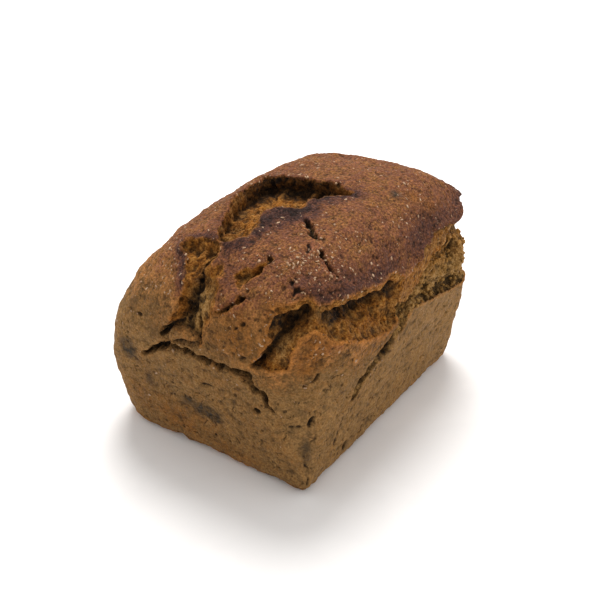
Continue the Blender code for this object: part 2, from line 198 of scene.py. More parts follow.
# Cracks: how deep each is, then the places along it, each with its half width
CRACKS = [
    (5.5, (-67.5, 26.5, 44, 0.7), (-68, 22.5, 48, 1.1), (-68.5, 17.5, 50.5, 1.5), (-68.5, 14, 53, 1.8),
        (-69, 10, 53.5, 1.4), (-69, 4.5, 55, 1.4), (-69, 0, 55.5, 1.8), (-69, -2.5, 54, 1.5),
        (-69, -7, 54.5, 1.8), (-69, -12, 54.5, 2.0), (-69, -16.5, 56, 1.6), (-69, -20, 55, 1.8),
        (-69, -23.5, 55, 2.4), (-68.5, -26, 53.5, 1.9), (-68, -29, 49, 1.4), (-67.5, -32, 48, 1.2),
        (-66.5, -34.5, 43.5, 0.8), (-66, -37, 40, 0.5)),
    (5.0, (-69, 3, 70, 0.5), (-69, 6.5, 67.5, 0.9), (-69.5, 10, 65.5, 0.8), (-69.5, 12.5, 61.5, 1.3),
        (-69.5, 16, 58.5, 0.8)),
    (2.5, (-69.5, -3, 64, 0.5), (-69.5, -1, 61, 0.4), (-69.5, 5.5, 58.5, 0.3), (-69.5, 11, 57.5, 0.4)),
    (8.0, (-41.5, -1, 97.5, 0.7), (-38, -0.5, 98, 1.0), (-36, -0.5, 98, 0.9), (-35, -2.5, 98.5, 0.3)),
    (8.0, (-58, 4.5, 89, 0.9), (-56.5, 4.5, 90, 0.7), (-55, 4, 91.5, 0.8), (-53, 2.5, 93, 0.8),
        (-51.5, 1, 94, 0.7), (-50, -1, 94.5, 0.3)),
    (7.5, (-58, 3, 89.5, 0.4), (-61, 3.5, 86, 0.9), (-63.5, 2.5, 83, 1.2), (-65.5, 3, 79, 1.0),
        (-67, 2.5, 75, 1.2), (-68.5, 3.5, 71, 0.7)),
    (6.0, (-64, -1.5, 82.5, 0.3), (-66, -2, 79, 0.6), (-67.5, -1, 75, 0.5), (-69, -2.5, 70, 0.8),
        (-69.5, -3, 64, 0.7)),
    (6.5, (-66, 6, 78, 0.5), (-68, 5, 73, 0.7), (-69, 6, 68.5, 0.4)),
    (6.0, (-58, -18.5, 91, 0.8), (-55.5, -20, 93.5, 0.9), (-53.5, -21, 94.5, 0.8), (-51.5, -22, 96, 0.6)),
    (3.0, (-49.5, -22.3, 97, 0.5), (-46.5, -22, 98, 0.6)),
    (5.0, (-66.5, -12.5, 79, 0.5), (-65.5, -14.5, 81, 0.6), (-64.5, -16.5, 83, 0.8), (-64, -18, 83.5, 0.4)),
    (4.5, (-62.5, -19, 86, 0.6), (-62, -20.5, 86.5, 0.6)),
    (3.2, (-20, -21.5, 101, 0.6), (-21.5, -23, 101, 0.9), (-24.5, -26, 101, 1.2), (-27, -29.5, 101, 1.1),
        (-28.5, -32.5, 100.5, 0.5), (-26.5, -36, 100.5, 0.3)),
    (3.0, (-34.5, -38, 99, 0.7), (-36, -41.5, 97, 1.0), (-36.5, -44, 95, 0.6), (-35.5, -47.5, 91.5, 0.4)),
    (1.6, (-33.5, -33, 100, 0.4), (-38, -34.5, 99.5, 0.5)),
    (1.4, (-48, -37, 96, 0.3), (-51, -37, 94, 0.6), (-53, -37.5, 92.5, 0.4)),
    (1.6, (-51, -43, 90, 0.4), (-52.5, -40, 91.5, 0.6), (-56, -39.5, 89, 0.3)),
    (1.8, (-68.5, 31.5, 60, 0.3), (-68, 29.5, 62.5, 0.5), (-68.5, 27, 64, 0.5), (-69, 23, 63.5, 0.3)),
    (1.4, (-67.5, 29.5, 41.5, 0.4), (-67, 28, 39, 0.4)),
    (1.1, (-66, 15.5, 32.5, 0.25), (-66.5, 11.5, 35, 0.4), (-66.5, 8.5, 36, 0.25)),
    (0.9, (-67, -0.5, 40.5, 0.2), (-67, -6, 41, 0.35), (-67.5, -10.5, 42, 0.2)),
    (0.8, (-67.5, 13.5, 41.5, 0.25), (-67.5, 8, 44.5, 0.3)),
    (1.2, (-67, 24.5, 38.5, 0.3), (-66.5, 22.5, 36, 0.4)),
    (1.2, (-65.5, -39, 35, 0.4), (-64, -42.5, 34.5, 0.4)),
    (1.2, (-63.5, -35, 12.5, 0.4), (-63.5, -38, 11, 0.5)),
    (1.8, (-67, -28.5, 40, 0.6), (-67, -31, 39, 0.7)),
    (0.8, (-67, -21.5, 38.5, 0.3), (-66.5, -25, 36.5, 0.3)),
    (1.2, (-69.5, -13.5, 62.5, 0.3), (-69.5, -16, 63, 0.4), (-69.5, -15.5, 61.5, 0.3)),
    (1.2, (-69.5, -24.5, 63.5, 0.3), (-69.5, -28.5, 64.5, 0.4)),
    (1.2, (-68, -21.5, 75, 0.5), (-67, -23.5, 78, 0.6)),
    (2.6, (-54, -52, 58.5, 0.35), (-55, -51, 56.5, 0.65), (-56.5, -50, 54.5, 0.5), (-58.5, -48, 54.5, 0.4),
        (-59, -47.5, 53, 0.6)),
    (1.8, (-55.5, -50.5, 40.5, 0.4), (-57, -50, 37.5, 0.6), (-58, -49.5, 35.5, 0.4),
        (-59.5, -48.5, 32.5, 0.3)),
    (1.4, (-65, -40, 35.5, 0.5), (-64, -43, 34.5, 0.4), (-61.5, -46.5, 34.5, 0.3), (-60, -48.5, 33, 0.3)),
    (1.3, (-56, -51.5, 31, 0.15), (-57.5, -51, 27.5, 0.3), (-60.5, -49.5, 25.5, 0.25),
        (-62, -49, 20.5, 0.2), (-61, -50.5, 14, 0.3), (-61.5, -50, 6, 0.4)),
    (1.6, (-32.5, -51, 10, 0.8), (-34.5, -51, 8, 0.8)),
    (7.5, (-6, -56.5, 53, 1.3), (-7, -56, 49, 1.5), (-11, -55.5, 46, 1.8), (-19.5, -55.5, 45, 2.0),
        (-22.5, -55.5, 43, 1.6), (-26.5, -54.5, 39.5, 1.2), (-32, -55, 38.5, 0.7)),
    (0.7, (-31.5, -55, 39, 0.3), (-34.5, -54.5, 36, 0.3), (-37, -54, 32, 0.3), (-39.5, -53.5, 27, 0.3),
        (-42, -52.5, 19.5, 0.3), (-46, -51.5, 11.5, 0.3), (-53, -50.5, 5.5, 0.3)),
    (3.6, (44, 56, 66, 0.4), (34, 57, 64, 0.8), (24, 57, 62, 1.3), (14, 57, 63, 0.9), (4, 57, 65, 0.8),
        (-6, 57, 63, 1.2), (-16, 57, 61, 1.0), (-38, 55, 65, 0.3)),
    (2.6, (20, 47, 82, 0.4), (30, 46, 82, 0.7), (41, 43, 83, 0.8), (49, 36, 84, 0.3)),
    (3.4, (69, 24, 58, 0.3), (70, 14, 55, 0.7), (70, 5, 57, 0.9), (69, -3, 62, 1.1)),
    (1.8, (-30, 52, 76, 0.3), (-22, 50, 79, 0.6), (-12, 50, 79, 0.3)),
]

# Patches of colour on the crust: the middle, the reach along each axis, and the strength
PATCHES = {
    "ash": [
        ((-65.5, -3, 25), (4, 6.5, 3.2), 1.9), ((-65.5, 5, 27), (4, 7, 2.4), 0.9),
        ((-66, 26, 30), (4, 3.5, 5), 0.6), ((-67.5, 36, 44), (4, 4, 7), 0.9),
        ((-67, 33, 68), (4, 4, 3), 0.5), ((-60, -49, 22), (3.5, 3, 9), 0.75),
        ((-61, -47, 41), (3.5, 3.5, 2.5), 0.6), ((-63, -44, 33), (3, 3, 3.5), 0.6),
        ((-33.5, -51, 9), (2.5, 3, 2.5), 0.7), ((21, -38, 99), (3.0, 2.4, 4), 0.9),
        ((-69, 20, 58), (3, 5, 4), 0.45), ((10, -54, 36), (5, 3, 8), 0.35),
        ((-66, 10, 38), (4, 7, 2), 0.35), ((30, 55, 30), (9, 4, 6), 0.6), ((67, 12, 24), (4, 9, 7), 0.55),
    ],
    "rust": [
        ((-65, 12, 14), (5, 16, 8), 0.75), ((-63, -10, 8), (5, 14, 5), 0.5),
        ((-63, 30, 18), (5, 9, 8), 0.5), ((28, -43, 96), (3.2, 2.4, 4), 0.8),
        ((-56, -49.5, 73), (3.5, 3, 4.5), 0.9), ((62, -55, 43), (5, 4, 4), 0.8),
        ((-20, -56, 57), (16, 3, 4), 0.6), ((34, -48, 91), (5, 3, 4), 0.6),
        ((-68, -22, 72), (7, 10, 10), 0.85), ((-45, 56, 14), (16, 4, 8), 0.5),
        ((66, -20, 12), (4, 14, 7), 0.5),
    ],
    "scorch": [
        ((-17, -14, 101), (11, 7, 6), 1.3), ((-26, -8, 100), (6, 5, 6), 1.1),
        ((24, -50, 86), (9, 4, 5), 0.4),
    ],
}

# Where the crust is paler or darker than its height would make it: the middle, the reach and by how much
TOAST_SPOTS = [
    ((-65.0, -25.0, 74.0), 15.0, -0.16), ((-66.0, 28.0, 74.0), 19.0, -0.15),
    ((-38.0, -54.0, 50.0), 16.0, 0.07),
]

# Clusters of flakes: the middle, the reach and the strength
FLAKE_CLUSTERS = [
    ((-61, 17, 82), 5.0, 9.0), ((-45, -32, 98), 6.0, 14.0), ((-38, -40, 96), 7.0, 8.0),
    ((-56, -50, 70), 4.0, 5.0), ((-28, -36, 99), 10.0, 3.0), ((25, 10, 97), 12.0, 3.0),
    ((-69, -30, 68), 4.0, 8.0), ((10, 40, 88), 14.0, 3.0),
]

# ---------------------------------------------------------------- the mesh, the finishes and the studio

FINE_CUTS, QUICK_CUTS = 300, 170
FINE_VOXEL, QUICK_VOXEL = 0.5, 0.85
MOST_TRIANGLES = 190000
SMOOTHING_PASSES = 2
TRAIL_STEP = 2.5
JITTER = ((8.0, 0.9), (3.2, 0.75), (1.5, 0.35))
MARKS = ("crumb", "shag", "soot_and_shade", "glow", "smooth", "scorch", "ash", "rust")
HOLLOW_PASSES, CLEFT_PASSES = 6, 40
FLAKE_SEED, CRUMB_SEED = 7, 8

CRUST_GRAIN = (13.0, 3.4, 1.0)
CRUMB_GRAIN = (7.0, 2.4, 0.8)
# Painted shade in hollows and clefts: the mark, the depth at which its shade is full, and the share of the
# shade colour
SUNKEN_SHADE = (("hollow", 0.2, 0.55), ("cleft_shade", 1.8, 0.55))
# Painted highlight: the tint that lightens raised crests
PROUD_HIGHLIGHT = (1.45, 1.38, 1.3, 1.0)
BUMP_HEIGHT = 0.5 * MM

SENSOR_WIDTH = 36.0
CAMERA_TARGET = np.array((2.3, -3.4, 43.7))
KEY_PLACE, KEY_SIZE = (0.40, 0.28, 0.95), 0.62
FILL_PLACE, FILL_SIZE = (0.30, -1.10, 0.45), 0.8
FLOOR_GAP = 0.05 * MM

# ---------------------------------------------------------------- measures and noise


def ease(start, end, value):
    """Rises smoothly from 0 at start to 1 at end."""
    share = np.clip((value - start) / (end - start), 0.0, 1.0)
    return share * share * (3.0 - 2.0 * share)


def fade(reach, value):
    """Falls smoothly from 1 at 0 to nearly nothing past the reach."""
    return np.exp(-((value / reach) ** 2))


def swells(points, size, octaves=3, seed=0):
    """Smooth noise from about -1 to 1, with swells of this many millimetres."""
    shifted = (points / size + 17.31 * seed).tolist()
    return np.array([noise.fractal(p, 1.0, 2.0, octaves) for p in shifted])


def pores(points, size, seed=0):
    """0 in the middle of scattered round pores of this size, rising to about 1 between them."""
    shifted = (points / size + 17.31 * seed).tolist()
    return np.array([noise.voronoi(p)[0][0] for p in shifted])


def nodules(points, size, seed=0):
    """Rounded crumbs of this size: 1 on top of each and 0 in the clefts between them."""
    return 1.0 - np.clip(pores(points, size, seed) / 0.75, 0.0, 1.0)


def wander(points, size, amount, seed=0):
    """Offsets that push points about by up to this amount."""
    return amount * np.column_stack([swells(points, size, 2, seed + axis) for axis in range(3)])


# ---------------------------------------------------------------- the untorn loaf


def round_off(first, second, radius):
    """Meets two signed distances in a rounded outer edge."""
    corner = np.hypot(np.maximum(first + radius, 0.0), np.maximum(second + radius, 0.0))
    return np.minimum(np.maximum(first, second) + radius, 0.0) + corner - radius


def corner_radius(x, y, z):
    """The radius of the upright corner that a point is nearest to."""
    plus_x = ease(-CORNER_BLEND, CORNER_BLEND, x)
    plus_y = ease(-CORNER_BLEND, CORNER_BLEND, y)
    near = NEAR_CORNER_FOOT + (NEAR_CORNER_RIM - NEAR_CORNER_FOOT) * ease(0.0, TIN_RIM_HEIGHT, z)
    left = (1.0 - plus_y) * near + plus_y * LEFT_BACK_CORNER
    right = (1.0 - plus_y) * RIGHT_FRONT_CORNER + plus_y * BACK_CORNER
    return (1.0 - plus_x) * left + plus_x * right


def crown(x, y):
    """The height of the unbroken top crust."""
    height = np.full_like(x, CROWN_HEIGHT)
    for along, centre, reach, drop, power, tilt in zip(
        (x, y), CROWN_CENTRE, CROWN_REACH, CROWN_DROP, CROWN_POWER, CROWN_TILT
    ):
        height += tilt * along / reach - drop * np.abs((along - centre) / reach) ** power
    return height


def outside_loaf(points):
    """How far points lie outside the loaf before it tore. Negative is inside."""
    x, y, z = points.T
    lean = WALL_FLARE * np.clip(z, 0.0, TIN_RIM_HEIGHT)
    radius = corner_radius(x, y, z)
    past_x = np.abs(x) - BASE_LENGTH / 2.0 - lean + radius
    past_y = np.abs(y) - BASE_WIDTH / 2.0 - lean + radius
    walls = np.hypot(np.maximum(past_x, 0.0), np.maximum(past_y, 0.0))
    walls += np.minimum(np.maximum(past_x, past_y), 0.0) - radius
    body = round_off(walls, z - crown(x, y), SHOULDER_RADIUS)
    return round_off(body, -z, BOTTOM_EDGE_RADIUS)


def press_to_loaf(points):
    """Moves points along their rays from the heart of the loaf until they lie on its crust."""
    rays = points - HEART
    rays /= np.linalg.norm(rays, axis=1, keepdims=True)
    inner = np.zeros(len(rays))
    outer = np.full(len(rays), FARTHEST_CRUST)
    for _ in range(BISECTIONS):
        middle = (inner + outer) / 2.0
        beyond = outside_loaf(HEART + rays * middle[:, None]) > 0.0
        outer = np.where(beyond, middle, outer)
        inner = np.where(beyond, inner, middle)
    return HEART + rays * ((inner + outer) / 2.0)[:, None]


def flatten(points):
    """Lays the crust out flat around the crown, so that outlines can be tested on it."""
    x, y, z = (points - HEART).T
    heading = np.arctan2(y, x)
    from_top = np.arctan2(np.hypot(x, y), z)
    return np.column_stack((from_top * np.cos(heading), from_top * np.sin(heading)))


def trail(path, closed=False):
    """A smooth line over the crust through a path's points, and its place along them."""
    knots = np.array(path, float)
    ends = np.vstack((knots[-1], knots, knots[:2])) if closed else np.vstack((knots[0], knots, knots[-1]))
    line, places = [], []
    for index in range(len(knots) if closed else len(knots) - 1):
        before, start, end, after = ends[index : index + 4]
        steps = max(1, math.ceil(np.linalg.norm(end - start) / TRAIL_STEP))
        for share in np.arange(steps) / steps:
            turn = (end - before) * share + (2 * before - 5 * start + 4 * end - after) * share**2
            line.append(start + (turn + (3 * start - before - 3 * end + after) * share**3) / 2.0)
            places.append(index + share)
    if not closed:
        line.append(knots[-1])
        places.append(len(knots) - 1)
    return press_to_loaf(np.array(line)), np.array(places)


class Crust:
    """The points of the untorn crust, and where they lie from each tear."""

    def __init__(self, points, normals):
        self.points = points
        self.normals = normals
        self.x, self.y, self.z = points.T
        self.rough = points + sum(
            wander(points, size, amount, 40 * index) for index, (size, amount) in enumerate(JITTER)
        )
        self.place = flatten(self.rough)
        self.depth = np.zeros(len(points))
        self.lifted = np.zeros(len(points))
        self.shift = np.zeros((len(points), 3))
        self.marks = {name: np.zeros(len(points)) for name in MARKS}

    def swells(self, size, octaves, seed, stretch=1.0):
        """Smooth noise over the crust, drawn out along the axes whose stretch is below 1."""
        return swells(self.points * stretch, size, octaves, seed)

    def away(self, middle):
        """Each point's straight distance from a place."""
        return np.linalg.norm(self.points - middle, axis=1)

    def off(self, path, reach=14.0, closed=False):
        """Each point's distance from a path."""
        return self.near(path, reach, closed)[0]

    def near(self, path, reach=14.0, closed=False):
        """Each point's distance to a path, the way to it, and the place along it."""
        line, places = trail(path, closed)
        ends = np.roll(line, -1, axis=0) if closed else line[1:]
        place_ends = np.append(places[1:], places[-1] + 1.0)
        close = np.all((self.rough > line.min(0) - reach) & (self.rough < line.max(0) + reach), axis=1)
        chosen = self.rough[close]
        best = np.full(len(chosen), reach)
        way = np.zeros((len(chosen), 3))
        where = np.zeros(len(chosen))
        for start, end, first, last in zip(line, ends, places, place_ends):
            step = end - start
            share = np.clip((chosen - start) @ step / (step @ step), 0.0, 1.0)
            offset = start + share[:, None] * step - chosen
            distance = np.linalg.norm(offset, axis=1)
            nearer = distance < best
            best[nearer] = distance[nearer]
            way[nearer] = offset[nearer]
            where[nearer] = (first + share * (last - first))[nearer]
        distances = np.full(len(self.points), reach)
        ways = np.zeros_like(self.points)
        along = np.zeros(len(self.points))
        distances[close], ways[close], along[close] = best, way, where
        ways /= np.maximum(np.linalg.norm(ways, axis=1), 1e-6)[:, None]
        return distances, ways, along

    def within(self, outline):
        """True where a point lies inside a closed outline on the crust."""
        corners = flatten(trail(outline, closed=True)[0])
        low, high = corners.min(0), corners.max(0)
        close = np.all((self.place > low) & (self.place < high), axis=1)
        spots = self.place[close]
        found = np.zeros(len(spots), bool)
        for start, end in zip(corners, np.roll(corners, -1, axis=0)):
            if start[1] == end[1]:
                continue
            crosses = (start[1] > spots[:, 1]) != (end[1] > spots[:, 1])
            meeting = start[0] + (spots[:, 1] - start[1]) * (end[0] - start[0]) / (end[1] - start[1])
            found ^= crosses & (spots[:, 0] < meeting)
        inside = np.zeros(len(self.points), bool)
        inside[close] = found
        return inside

    def sink(self, depth, shift=None):
        """Opens a tear to this depth, and moves its sides along where they are undercut."""
        self.depth = np.maximum(self.depth, depth)
        if shift is not None:
            self.shift += shift

    def lift(self, height):
        """Raises the lip of a tear."""
        self.lifted = np.maximum(self.lifted, height)

    def mark(self, name, amount):
        """Raises a mark to this amount where it is less."""
        self.marks[name] = np.maximum(self.marks[name], amount)

    def opened(self):
        """Where the crust's points end up."""
        rise = self.lifted * (self.depth < 0.6) * ease(0.0, 3.0, self.z) - self.depth
        return self.points + self.normals * rise[:, None] + self.shift


# ---------------------------------------------------------------- tears


def tear_crown(crust):
    """The crescent on the crown: an undercut far wall, burnt and with painted shadow under its lip, and a
    floor that climbs to the near lip.
    """
    far, to_far, _ = crust.near(CROWN_FAR_LIP)
    near = crust.off(CROWN_NEAR_LIP)
    within = crust.within(CROWN_FAR_LIP + CROWN_NEAR_LIP)
    ridges = 1.0 + 0.5 * crust.swells(5.0, 3, 3, (0.45, 1.0, 1.0))
    depth = np.minimum(np.interp(far, *CROWN_WALL), np.interp(near, *CROWN_RAMP) * ridges)
    under = np.interp(far, *CROWN_UNDERCUT) * ease(0.5, 3.0, near)
    crust.sink(within * depth, to_far * (within * under)[:, None])
    crust.lift(~within * (0.9 * fade(2.6, near) + 0.5 * fade(2.0, far)))
    crust.mark("crumb", within * ease(0.05, 0.4, np.minimum(far, near)))
    streaks = 1.6 * crust.swells(2.6, 3, 4, (0.5, 1.0, 1.0))
    # The far wall darkens towards its undercut lip: partly burnt crust, partly painted shadow under the lip
    burnt = 0.4 + 0.6 * ease(-10.0, 1.0, crust.x) * ease(-20.0, -8.0, crust.y)
    crust.mark("soot_and_shade", within * burnt * (1.0 - ease(3.6, 7.0, far + streaks)))
    crust.mark("soot_and_shade", within * 0.25 * ease(0.2, 0.9, streaks) * ease(1.0, 3.0, near))
    crust.mark("scorch", ~within * (1.2 * fade(6.0, near) * (0.75 + 0.4 * streaks) + 0.2 * fade(2.0, far)))
    crust.mark("glow", within * (0.85 + 0.15 * fade(2.5, near)) + ~within * 0.6 * fade(0.7, near))


def tear_end(crust):
    """The ragged tear that runs from the crown down the end wall, with a pebble of crust at its foot."""
    edge = crust.off(END_TEAR, closed=True)
    left, right = crust.off(END_LEFT_SIDE), crust.off(END_RIGHT_SIDE)
    pebble_edge = crust.off(PEBBLE, closed=True)
    within = crust.within(END_TEAR)
    pebble = crust.within(PEBBLE)
    fibres = crust.swells(2.6, 3, 5, (0.3, 1.0, 0.3))
    sides = np.minimum(np.interp(left, *END_STEEP_SIDE), np.interp(right, *END_GENTLE_SIDE))
    crust.sink(within * ~pebble * (np.minimum(np.interp(edge, *END_LIP), sides) * (1.0 + 0.35 * fibres)))
    crust.sink(fade(1.1, pebble_edge) * 3.6)
    crust.lift(pebble * 2.2 * ease(0.6, 3.0, pebble_edge))
    # Painted shade in the sunken groove around the pebble
    crust.mark("soot_and_shade", 0.85 * fade(0.8, pebble_edge))
    beyond = crust.y > 3.0
    crust.lift(~within * ~pebble * (0.6 + 0.9 * beyond) * fade(2.6, edge))
    crust.mark("crumb", within * ~pebble * ease(0.05, 0.4, edge))
    crust.mark("scorch", ~within * 0.9 * fade(3.4, edge) * ease(76.0, 84.0, crust.z) * (0.4 + 0.6 * beyond))
    high = ease(80.0, 90.0, crust.z)
    dried = np.clip(fade(3.0, edge) + 0.75 * high, 0, 1)
    crust.mark("glow", ~pebble * np.maximum(within, 0.8 * fade(0.7, edge)) * dried)
    crust.mark("smooth", np.maximum(pebble * 1.0, within * 0.5 * (1.0 - ease(3.0, 6.0, right))))
    # Painted shade: the fissure along the tear's steep left side is darkened
    fissure = fade(3.2, left - 4.0 + 1.5 * fibres) * (1.0 - 0.7 * high)
    crust.mark("soot_and_shade", within * ~pebble * 0.55 * fissure)


def tear_plates(crust):
    """The smaller tears between the plates of crust on the near shoulder."""
    for outline, deepest in ((PLATE_TEAR, 3.0), (PLATE_SLIT, 2.4)):
        edge = crust.off(outline, closed=True)
        within = crust.within(outline)
        crust.sink(within * np.interp(edge, (0.0, 0.5, 2.0), (0.0, 1.3, deepest)))
        crust.lift(~within * 0.6 * fade(2.0, edge))
        crust.mark("crumb", within * ease(0.0, 0.3, edge))
        crust.mark("scorch", ~within * 0.35 * fade(2.0, edge))
        crust.mark("glow", np.maximum(within * (0.5 + 0.5 * fade(1.2, edge)), 0.6 * fade(0.7, edge)))


def tear_hollow(crust):
    """The deep hollow under the front of the slab, between the plate on the shoulder and the near lobe."""
    slab, to_slab, _ = crust.near(SLAB_FRONT, 18.0)
    rim, plate = crust.off(LOBE_RIM, 18.0), crust.off(PLATE_EDGE, 18.0)
    core = crust.off(FRONT_CORE)
    flap = crust.away(SLAB_FLAP)
    within = crust.within(HOLLOW_OUTLINE)
    past_strip = slab - (2.6 + 0.9 * crust.swells(5.0, 2, 6))
    from_slab = np.minimum(np.interp(past_strip, *HOLLOW_ROOF), np.interp(slab, *HOLLOW_SLAB_LIP))
    walls = np.minimum(from_slab, np.interp(plate, *HOLLOW_PLATE_LIP))
    lumps = 1.0 + 0.3 * crust.swells(5.0, 3, 7)
    depth = np.minimum(np.interp(rim, *HOLLOW_RIM) * lumps, walls) + 5.0 * fade(2.0, core)
    depth *= 1.0 - 0.8 * fade(3.2, flap)
    under = np.interp(past_strip, *HOLLOW_UNDERCUT) * ease(1.0, 5.0, rim) * (1.0 - fade(5.0, flap))
    crust.sink(within * depth, to_slab * (within * under)[:, None])
    crust.lift(~within * (0.7 * fade(2.0, rim) + 1.0 * fade(2.4, np.minimum(slab, plate))))
    fold = crust.off(LOBE_FOLD)
    crust.lift(~within * 1.3 * fade(0.8, fold))
    crust.mark("glow", ~within * 0.9 * fade(0.8, fold))
    crust.mark("rust", ~within * fade(3.5, fold - 3.0) * 0.9)
    flank = fade(5.0, crust.away(HOLLOW_FLANK))
    crust.mark("crumb", within * ease(0.05, 0.4, np.minimum(rim, np.minimum(slab, plate))))
    crust.mark("smooth", within * 0.8 * flank)
    # Painted shade: the deep core of the hollow, and the crumb just under the slab's lip, are darkened for
    # their shadow
    crust.mark("soot_and_shade", within * fade(2.6, core))
    painted_slab_shadow = 1.0 - ease(8.4, 10.4, slab + 1.2 * crust.swells(4.0, 3, 8))
    painted_slab_shadow *= ease(-0.1, 0.6, past_strip)
    crust.mark("soot_and_shade", within * painted_slab_shadow * ease(2.0, 5.0, rim) * (1.0 - 0.7 * fade(3.0, flap)))
    crust.mark("glow", within * np.maximum(0.8 * (1.0 - flank), fade(2.6, rim)) + ~within * fade(1.6, rim))
    crust.mark("glow", ~within * fade(0.9, np.minimum(slab, plate)))
    crust.mark("rust", ~within * 0.9 * fade(4.0, plate))


def tear_side(crust):
    """The burst along the long wall: the slab's broken edge, then shaggy crumb down to the wall's top."""
    wall = crust.off(WALL_TOP)
    slab = crust.off(SLAB_BACK, 16.0)
    foot, to_foot, _ = crust.near(STRIP_FOOT, 16.0)
    within = crust.within(BURST_OUTLINE)
    strip = crust.within(STRIP_OUTLINE)
    ragged = 0.55 + 0.65 * crust.swells(6.0, 2, 9)
    gap = np.interp(foot, *BURST_GAP) * np.clip(ragged, 0.45, 1.1)
    crevice = 2.4 * fade(1.1, wall - 1.4) * np.clip(ragged, 0.0, 1.0)
    depth = np.maximum(np.interp(slab, *BURST_SLAB_LIP), 0.9) + gap + crevice
    for middle, reach, deep in BURST_HOLLOWS:
        depth += deep * fade(reach, crust.away(middle))
    depth = np.where(strip, np.interp(slab, *BURST_STRIP), depth)
    depth = np.minimum(depth, np.interp(wall, *BURST_WALL_LIP))
    under = np.interp(foot, *BURST_UNDERCUT) * ~strip
    crust.sink(within * depth, to_foot * (within * under)[:, None])
    crust.lift(~within * (1.1 * fade(2.6, slab) + 0.4 * fade(1.5, wall)))
    crust.mark("crumb", within * ease(0.05, 0.4, np.minimum(wall, slab)))
    crust.mark("shag", within * ~strip * 1.0)
    wall_rim = ~within * 0.6 * fade(0.8, wall) * (crust.x > 0)
    crust.mark("glow", within * np.maximum(strip * 0.75, 0.5 * fade(3.5, foot)) + wall_rim)
    crust.mark("glow", within * 0.45 * ease(56.0, 70.0, crust.z))
    # Painted shadow in the gap under the broken slab edge, along the strip's foot
    crust.mark("soot_and_shade", within * ~strip * 0.75 * fade(2.2, foot - 1.0) * np.clip(ragged, 0.0, 1.0))


def tear_wedge(crust):
    """The wedge between the near lobe and the long wall, closing to a crack towards the corner."""
    ridge, wall = crust.off(LOBE_RIDGE), crust.off(WALL_TOP[:8])
    within = crust.within(WEDGE_OUTLINE)
    pockets = 1.0 + 0.9 * crust.swells(5.0, 2, 10)
    from_ridge = np.interp(ridge, *WEDGE_RIDGE) * np.clip(pockets, 0.4, 1.4)
    crust.sink(within * np.minimum(from_ridge, np.interp(wall, *WEDGE_WALL)))
    crust.lift(~within * 0.7 * fade(1.8, ridge))
    crust.mark("crumb", within * ease(0.05, 0.4, np.minimum(ridge, wall)))
    crust.mark("shag", within * 0.4)
    # Painted shade deep in the wedge beside the lobe's ridge
    crust.mark("soot_and_shade", within * (1.0 - ease(2.2, 4.2, ridge / np.clip(pockets, 0.6, 1.2))))
    crust.mark("smooth", ~within * 0.9 * fade(2.6, ridge))


def crack_crust(crust):
    """The long cracks and the short slits, each with slightly lifted lips and painted shade inside."""
    uneven = 1.0 + 0.8 * crust.swells(3.2, 3, 11)
    for depth, *knots in CRACKS:
        path = np.array(knots, float)
        distance, _, place = crust.near(path[:, :3], 6.0)
        width = uneven * np.interp(place, np.arange(len(path)), path[:, 3])
        width = np.maximum(width, 0.18) + 0.18
        openness = 1.0 - ease(0.6, 1.25, distance / width)
        crust.lift((distance < 5.9) * 0.4 * fade(1.6, distance - 1.4 * width))
        crust.sink(openness * depth * np.clip(0.3 + width / 1.2, 0.0, 1.0))
        crust.mark("crumb", openness * ease(0.7, 1.3, width))
        # Painted shade inside each crack's opening, over a wider band in the deepest cracks
        crust.mark("soot_and_shade", openness)
        crust.mark("soot_and_shade", (depth > 7.0) * (1.0 - ease(1.1, 2.0, distance / width)))


def swell_crust(crust):
    """The uneven rise of the dough, its crooked foot, and bumps on the shoulders and the crown."""
    uneven = 0.9 * crust.swells(34.0, 2, 13) * ease(4.0, 20.0, crust.z)
    bumps = 0.6 * crust.swells(10.0, 3, 15) * ease(45.0, 80.0, crust.z)
    dents = 0.7 * crust.swells(12.0, 4, 16, (1.0, 1.0, 2.0)) * ease(2.0, 8.0, crust.z)
    foot = (0.9 + 2.8 * crust.swells(8.0, 3, 18)) * (1.0 - ease(0.0, 5.0, crust.z))
    notch = 5.5 * fade(2.4, crust.away(FOOT_NOTCH))
    crease = 3.6 + 1.6 * crust.swells(14.0, 2, 32)
    crust.depth += 0.7 * fade(0.8, crust.z - crease) * ease(-0.2, 0.3, crust.swells(20.0, 2, 33))
    crust.depth += 0.6 - uneven - bumps - dents
    crust.depth *= ease(0.0, 2.0, crust.z)
    outward = crust.normals * (1.0, 1.0, 0.0)
    crust.shift -= outward * (foot + notch)[:, None]


def toasting(crust):
    """How darkly each part of the crust is baked, from 0 on the tin's walls to 1 where it is burnt; the long
    walls are also painted a little paler, as painted light.
    """
    slab, rim = crust.off(SLAB_EDGE, 30.0), crust.off(LOBE_RIM, 30.0)
    top = ease(50.0, 88.0, crust.z + 5.0 * crust.swells(16.0, 2, 17))
    # Painted light: the long walls below the crown are made a little paler, for the light that falls on the
    # long wall
    toast_and_light = 0.10 + 0.47 * top - 0.07 * np.abs(crust.normals[:, 1]) * (1.0 - top)
    toast_and_light += 0.22 * fade(9.0, slab) * ease(72.0, 80.0, crust.z) * ease(-58.0, -46.0, crust.x)
    for middle, reach, amount in TOAST_SPOTS:
        toast_and_light += amount * fade(reach, crust.away(middle))
    toast_and_light += 0.16 * fade(12.0, rim) * (1.0 - ease(66.0, 80.0, crust.z))
    toast_and_light += 0.22 * (1.0 - ease(1.0, 5.0, crust.z))
    return toast_and_light + 0.05 * crust.swells(9.0, 3, 19)


